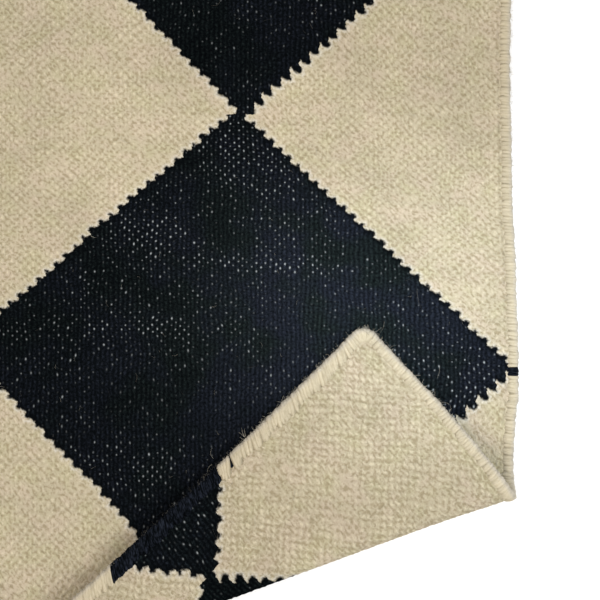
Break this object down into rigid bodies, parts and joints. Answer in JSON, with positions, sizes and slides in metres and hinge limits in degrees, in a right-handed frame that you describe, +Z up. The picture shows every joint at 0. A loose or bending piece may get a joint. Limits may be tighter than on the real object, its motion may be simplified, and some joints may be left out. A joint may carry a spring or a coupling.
{
  "type": "kilim rug",
  "caption": "Flat-woven wool rug with a pattern of touching cream and black diamonds, overcast edges, and a corner folded over on top to show the back.",
  "frame": {"origin": "on the floor, under the middle of the rug", "axes": "+X across the rug, +Y along its length away from the folded corner's end, +Z up; the folded corner is at +X, -Y"},
  "size_m": [0.606, 0.9128, 0.0259],
  "materials": {
    "woven_wool": "matte plain-woven wool, cream and black",
    "overcast_yarn": "matte wound wool yarn, cream and black"
  },
  "bodies": {
    "root": {"field": "woven_wool", "binding_side_right": "overcast_yarn", "binding_side_left": "overcast_yarn", "binding_end_front": "overcast_yarn", "binding_end_back": "overcast_yarn"}
  },
  "joints": []
}
